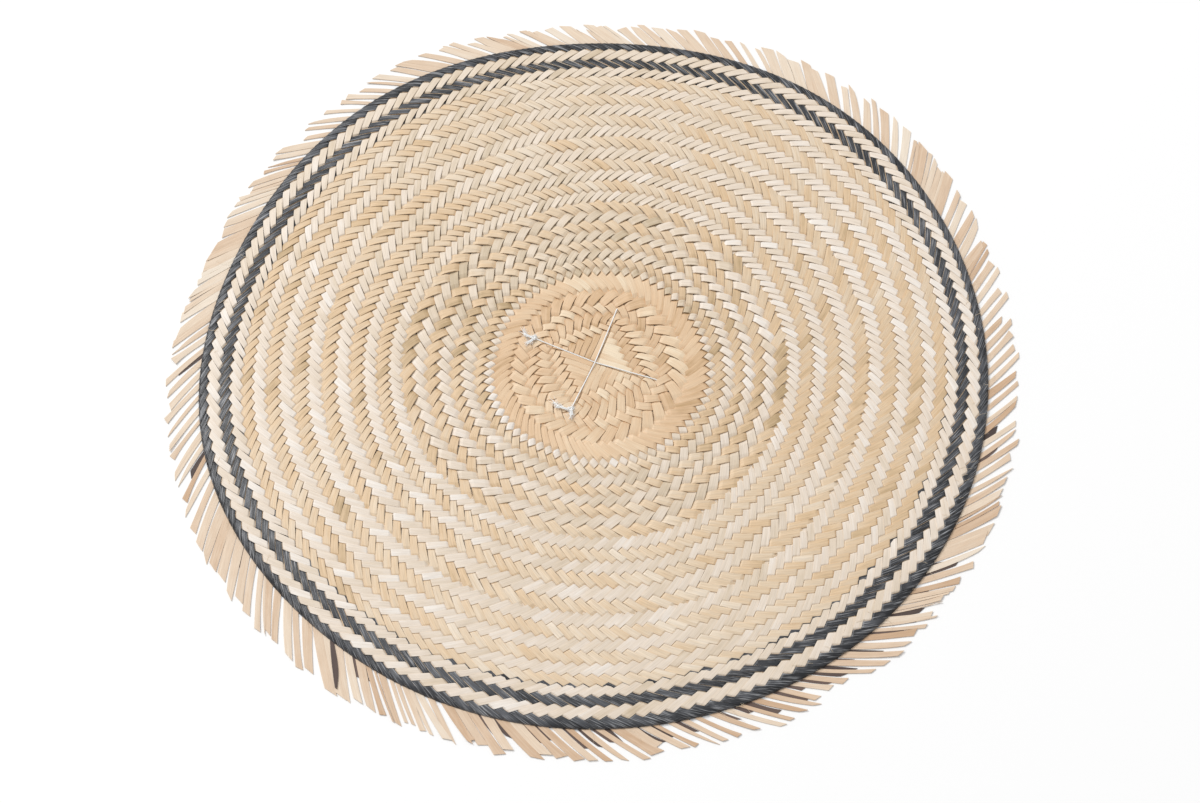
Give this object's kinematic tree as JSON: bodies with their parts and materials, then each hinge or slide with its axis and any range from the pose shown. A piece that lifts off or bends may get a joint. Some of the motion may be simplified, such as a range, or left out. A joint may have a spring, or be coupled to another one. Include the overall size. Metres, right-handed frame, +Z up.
{
  "type": "round woven palm-leaf placemat",
  "caption": "Round flat placemat of plaited palm-leaf strips: cream and tan rings, black banded border, short leaning fringe, and a cross of white thread at the middle.",
  "frame": {"origin": "centre of the flat underside, on the surface the mat lies on", "axes": "+Z up, out of the woven face; +Y points to the far side as the mat lies before the viewer, +X to the viewer's right"},
  "size_m": [0.3803, 0.3745, 0.0041],
  "materials": {
    "palm_leaf": "dry, satin along the grain",
    "palm_leaf_cream": "dry, satin along the grain",
    "palm_leaf_black": "dyed, satin with grey streaks",
    "palm_leaf_ends": "dry, matt cut ends",
    "cotton_thread": "matt"
  },
  "bodies": {
    "root": {"mat": "palm_leaf", "fringe": "palm_leaf_ends", "thread_across": "cotton_thread", "thread_along": "cotton_thread"}
  },
  "joints": []
}
